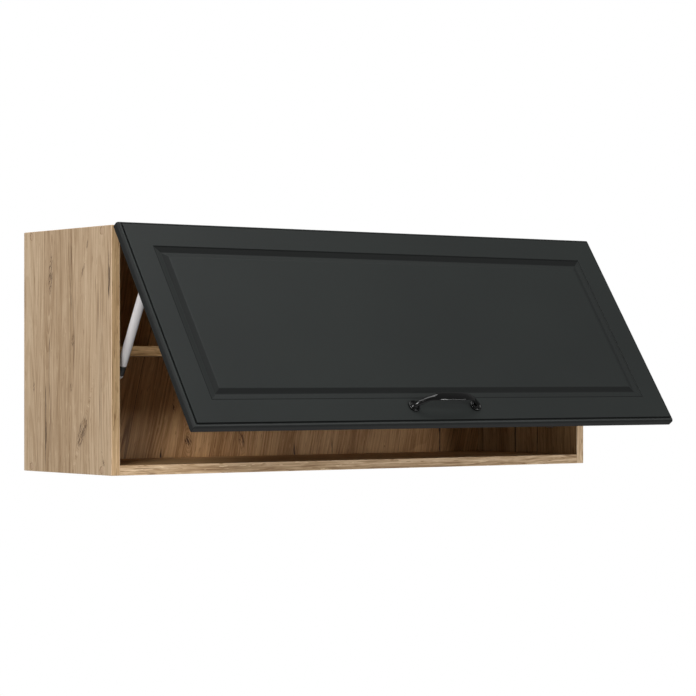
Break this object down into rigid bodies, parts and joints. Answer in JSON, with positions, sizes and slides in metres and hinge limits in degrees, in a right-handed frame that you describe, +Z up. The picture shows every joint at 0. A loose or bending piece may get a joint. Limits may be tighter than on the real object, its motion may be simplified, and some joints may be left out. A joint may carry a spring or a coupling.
{
  "type": "lift up wall cabinet",
  "caption": "Wide wall cabinet with a top-hung lift-up routed front on cup hinges and gas struts, a set-back shelf, a bow handle and wall hangers.",
  "frame": {"origin": "centre of the rear face of the back panel, on the wall plane, half way along the width and the height", "axes": "+X to the right seen from the front, +Y into the wall, +Z up; the front faces -Y"},
  "size_m": [1, 0.5394, 0.4041],
  "materials": {
    "oak_board": "laminated particleboard with a light oak print, vertical grain on the side panels",
    "back_board": "thin hardboard with the same oak print",
    "graphite_front": "routed fibreboard under matte graphite foil",
    "black_handle": "glossy black lacquer on cast metal",
    "nickel": "nickel-plated pressed steel",
    "steel": "zinc-plated steel",
    "grey_tube": "light grey paint, satin",
    "chrome_rod": "polished rod",
    "black_plastic": "moulded black",
    "light_plastic": "moulded light grey",
    "white_plastic": "moulded white",
    "cap_plastic": "moulded in the board's colour"
  },
  "bodies": {
    "cabinet": {"left_side_panel": "oak_board", "right_side_panel": "oak_board", "top_panel": "oak_board", "bottom_panel": "oak_board", "shelf": "oak_board", "back_panel": "back_board", "connector_screw_left_upper_front": "steel", "cover_cap_left_upper_front": "cap_plastic", "connector_screw_left_upper_rear": "steel", "cover_cap_left_upper_rear": "cap_plastic", "connector_screw_left_lower_front": "steel", "cover_cap_left_lower_front": "cap_plastic", "connector_screw_left_lower_rear": "steel", "cover_cap_left_lower_rear": "cap_plastic", "shelf_pin_left_front": "nickel", "shelf_pin_left_rear": "nickel", "hanger_housing_left": "white_plastic", "hanger_hook_left": "steel", "connector_screw_right_upper_front": "steel", "cover_cap_right_upper_front": "cap_plastic", "connector_screw_right_upper_rear": "steel", "cover_cap_right_upper_rear": "cap_plastic", "connector_screw_right_lower_front": "steel", "cover_cap_right_lower_front": "cap_plastic", "connector_screw_right_lower_rear": "steel", "cover_cap_right_lower_rear": "cap_plastic", "shelf_pin_right_front": "nickel", "shelf_pin_right_rear": "nickel", "hanger_housing_right": "white_plastic", "hanger_hook_right": "steel", "hinge_plate_left": "nickel", "hinge_arm_left": "nickel", "strut_cabinet_bracket_left": "steel", "hinge_plate_right": "nickel", "hinge_arm_right": "nickel", "strut_cabinet_bracket_right": "steel"},
    "door": {"door_front": "graphite_front", "handle": "black_handle", "handle_screw_left": "steel", "hinge_cup_left": "nickel", "strut_door_bracket_left": "steel", "handle_screw_right": "steel", "hinge_cup_right": "nickel", "strut_door_bracket_right": "steel"},
    "strut_tube_left": {"strut_upper_socket_left": "black_plastic", "strut_cylinder_left": "grey_tube", "strut_end_cap_left": "black_plastic", "strut_wiper_ring_left": "light_plastic"},
    "strut_piston_left": {"strut_rod_left": "chrome_rod", "strut_lower_socket_left": "black_plastic"},
    "outer_link_left": {"hinge_outer_link_left": "nickel"},
    "inner_link_left": {"hinge_inner_link_left": "nickel"},
    "strut_tube_right": {"strut_upper_socket_right": "black_plastic", "strut_cylinder_right": "grey_tube", "strut_end_cap_right": "black_plastic", "strut_wiper_ring_right": "light_plastic"},
    "strut_piston_right": {"strut_rod_right": "chrome_rod", "strut_lower_socket_right": "black_plastic"},
    "outer_link_right": {"hinge_outer_link_right": "nickel"},
    "inner_link_right": {"hinge_inner_link_right": "nickel"}
  },
  "joints": [
    {"name": "door_hinge", "type": "hinge", "parent": "cabinet", "child": "door", "pos_m": [0, -0.2895, 0.198], "axis": [-1, 0, 0], "range_deg": [-35, 45]},
    {"name": "strut_swing_left", "type": "hinge", "parent": "door", "child": "strut_tube_left", "pos_m": [-0.466, -0.33801, 0.10779], "axis": [-1, 0, 0], "range_deg": [-47.35, 36.83]},
    {"name": "strut_stroke_left", "type": "slide", "parent": "strut_tube_left", "child": "strut_piston_left", "axis": [0, 0.4885, -0.8726], "range_m": [-0.0603, 0.0775]},
    {"name": "outer_link_turn_left", "type": "hinge", "parent": "cabinet", "child": "outer_link_left", "pos_m": [-0.39, -0.2755, 0.173], "axis": [-1, 0, 0], "range_deg": [-35, 45]},
    {"name": "inner_link_turn_left", "type": "hinge", "parent": "door", "child": "inner_link_left", "pos_m": [-0.39, -0.30163, 0.18452], "axis": [-1, 0, 0], "range_deg": [-45, 35]},
    {"name": "strut_swing_right", "type": "hinge", "parent": "door", "child": "strut_tube_right", "pos_m": [0.466, -0.33801, 0.10779], "axis": [-1, 0, 0], "range_deg": [-47.35, 36.83]},
    {"name": "strut_stroke_right", "type": "slide", "parent": "strut_tube_right", "child": "strut_piston_right", "axis": [0, 0.4885, -0.8726], "range_m": [-0.0603, 0.0775]},
    {"name": "outer_link_turn_right", "type": "hinge", "parent": "cabinet", "child": "outer_link_right", "pos_m": [0.39, -0.2755, 0.173], "axis": [-1, 0, 0], "range_deg": [-35, 45]},
    {"name": "inner_link_turn_right", "type": "hinge", "parent": "door", "child": "inner_link_right", "pos_m": [0.39, -0.30163, 0.18452], "axis": [-1, 0, 0], "range_deg": [-45, 35]}
  ],
  "couplings": [
    {"joint": "strut_swing_left", "follows": "door_hinge", "ratio": -1.0521},
    {"joint": "strut_stroke_left", "follows": "door_hinge", "m_per_rad": 0.09865},
    {"joint": "outer_link_turn_left", "follows": "door_hinge", "ratio": 1},
    {"joint": "inner_link_turn_left", "follows": "door_hinge", "ratio": -1},
    {"joint": "strut_swing_right", "follows": "door_hinge", "ratio": -1.0521},
    {"joint": "strut_stroke_right", "follows": "door_hinge", "m_per_rad": 0.09865},
    {"joint": "outer_link_turn_right", "follows": "door_hinge", "ratio": 1},
    {"joint": "inner_link_turn_right", "follows": "door_hinge", "ratio": -1}
  ]
}
